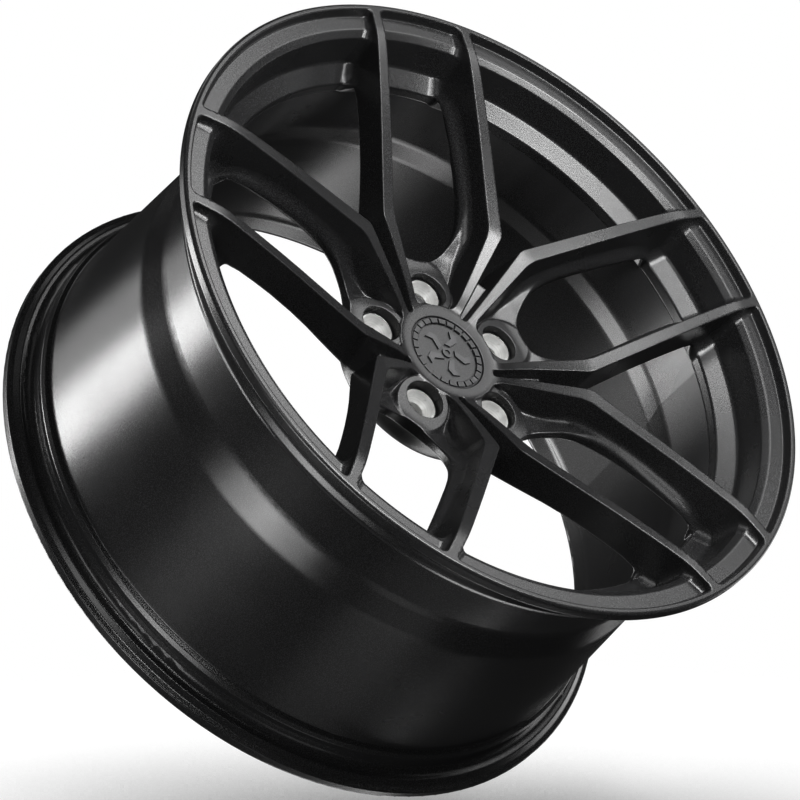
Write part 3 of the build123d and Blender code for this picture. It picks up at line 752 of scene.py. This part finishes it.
PANELS = [  # direction from the wheel (right, up, towards the camera), distance, size, brightness
    ((0.60, 0.50, 0.62), 2.6, 1.0, 0.85), ((0.55, 0.82, 0.10), 2.6, 1.0, 0.71), ((0.70, 0.71, -0.05), 2.6, 1.0, 1.9),
    ((-0.97, 0.18, -0.10), 2.6, 1.0, 0.80), ((-0.88, 0.25, -0.40), 2.6, 1.0, 0.34), ((-0.95, -0.10, -0.30), 2.6, 1.0, 0.56),
    ((-0.68, -0.45, 0.58), 2.6, 1.0, 3.73), ((-0.50, -0.56, 0.66), 2.6, 1.0, 2.90), ((-0.05, -0.84, -0.54), 2.6, 1.0, 1.91),
    ((-0.71, -0.28, -0.64), 2.6, 1.0, 3.0), ((-0.20, 0.30, 0.93), 2.6, 1.0, 2.10), ((-0.30, 0.95, 0.10), 2.6, 1.0, 0.24),
    ((0.0, -0.98, 0.20), 2.6, 1.0, 0.39),
    ((0.58, 0.58, 0.50), 1.15, 0.32, 5.5), ((0.75, 0.40, 0.50), 1.15, 0.32, 11.64), ((0.42, 0.42, 0.80), 1.15, 0.32, 12.0),
    ((-0.97, 0.15, -0.15), 1.15, 0.32, 6.59), ((-0.86, 0.30, -0.38), 1.15, 0.32, 0.98), ((-0.97, -0.10, -0.20), 1.15, 0.32, 0.30),
    ((-0.75, -0.60, 0.20), 1.15, 0.32, 0.19), ((0.40, 0.90, 0.0), 1.15, 0.32, 1.14), ((0.92, 0.35, -0.10), 1.15, 0.32, 0.52),
    ((0.50, 0.80, 0.30), 1.15, 0.32, 6.0),
    # far side and rear of the wheel, so that it reads from every side
    ((0.81, -0.12, -0.58), 2.6, 1.2, 1.1), ((0.62, -0.31, -0.80), 2.6, 1.0, 0.7), ((0.15, 0.37, -0.98), 2.6, 1.0, 1.0),
    ((-0.42, 0.78, -0.52), 2.6, 1.0, 0.8), ((-0.54, -0.54, -0.64), 2.6, 1.4, 0.22),
]
for i, (d, dist, size, e) in enumerate(PANELS):
    d = Vector(d).normalized() * dist
    lamp = area("panel_%02d" % i, d, (size, size), 2.0 * math.pi * e * size * size)
    lamp.visible_camera = False

# pale floor under the wheel as it lies in this view, fading into the white surround
tilt = math.radians(4.0)
fn = (up * math.cos(tilt) + back * math.sin(tilt)).normalized()
fx = right
fy = fn.cross(fx).normalized()
fc = -up * 0.3025 - back * 0.30
rings = []
NR, NA, FR = 24, 96, 0.62
for i in range(NR + 1):
    for j in range(NA):
        t = 2 * math.pi * j / NA
        rings.append(fc + (fx * math.cos(t) + fy * math.sin(t)) * FR * i / NR)
quads = [(i * NA + j, i * NA + (j + 1) % NA, (i + 1) * NA + (j + 1) % NA, (i + 1) * NA + j) for i in range(NR) for j in range(NA)]
fm = bpy.data.meshes.new("floor")
fm.from_pydata([tuple(p) for p in rings], [], quads)
fm.update()
if sum((q.normal for q in fm.polygons), Vector()).dot(fn) < 0:
    fm.flip_normals()
floor = bpy.data.objects.new("floor", fm)
bpy.context.scene.collection.objects.link(floor)
fmat = bpy.data.materials.new("pale_floor")
fmat.use_nodes = True
ft = fmat.node_tree
ft.nodes.clear()
# painted shadow: the floor's emission is dimmed by ambient occlusion close to the wheel, a painted contact shadow
glow = add(ft, "ShaderNodeEmission")
painted_contact_shadow = add(ft, "ShaderNodeAmbientOcclusion", samples=24, Distance=0.60)
soft = add(ft, "ShaderNodeMapRange")
soft.inputs["From Min"].default_value = 0.45
soft.inputs["From Max"].default_value = 0.89
soft.inputs["To Min"].default_value = 0.15
soft.inputs["To Max"].default_value = 1.0
ft.links.new(painted_contact_shadow.outputs["AO"], soft.inputs["Value"])
ft.links.new(soft.outputs[0], glow.inputs["Strength"])
matte = add(ft, "ShaderNodeBsdfDiffuse")
tcf = add(ft, "ShaderNodeTexCoord")
speck = add(ft, "ShaderNodeTexNoise", Scale=30.0, Detail=3.0)
ft.links.new(tcf.outputs["Object"], speck.inputs["Vector"])
pale = ramp(ft, speck.outputs["Fac"], 0.3, (0.030, 0.030, 0.030), 0.7, (0.034, 0.034, 0.034))
ft.links.new(pale.outputs[0], matte.inputs[0])
both = add(ft, "ShaderNodeAddShader")
ft.links.new(glow.outputs[0], both.inputs[0])
ft.links.new(matte.outputs[0], both.inputs[1])
dist = add(ft, "ShaderNodeVectorMath", operation="DISTANCE")
dist.inputs[1].default_value = tuple(fc)
ft.links.new(tcf.outputs["Object"], dist.inputs[0])
fade = add(ft, "ShaderNodeMapRange", interpolation_type="SMOOTHSTEP")
fade.inputs["From Min"].default_value = FR * 0.70
fade.inputs["From Max"].default_value = FR * 0.98
ft.links.new(dist.outputs["Value"], fade.inputs["Value"])
side = add(ft, "ShaderNodeNewGeometry")
hide = add(ft, "ShaderNodeMath", operation="MAXIMUM")
ft.links.new(fade.outputs[0], hide.inputs[0])
ft.links.new(side.outputs["Backfacing"], hide.inputs[1])
clear = add(ft, "ShaderNodeBsdfTransparent")
mixf = add(ft, "ShaderNodeMixShader")
ft.links.new(hide.outputs[0], mixf.inputs[0])
ft.links.new(both.outputs[0], mixf.inputs[1])
ft.links.new(clear.outputs[0], mixf.inputs[2])
fo = add(ft, "ShaderNodeOutputMaterial")
ft.links.new(mixf.outputs[0], fo.inputs[0])
fm.materials.append(fmat)
floor.visible_shadow = False
floor.visible_glossy = False
floor.visible_diffuse = False
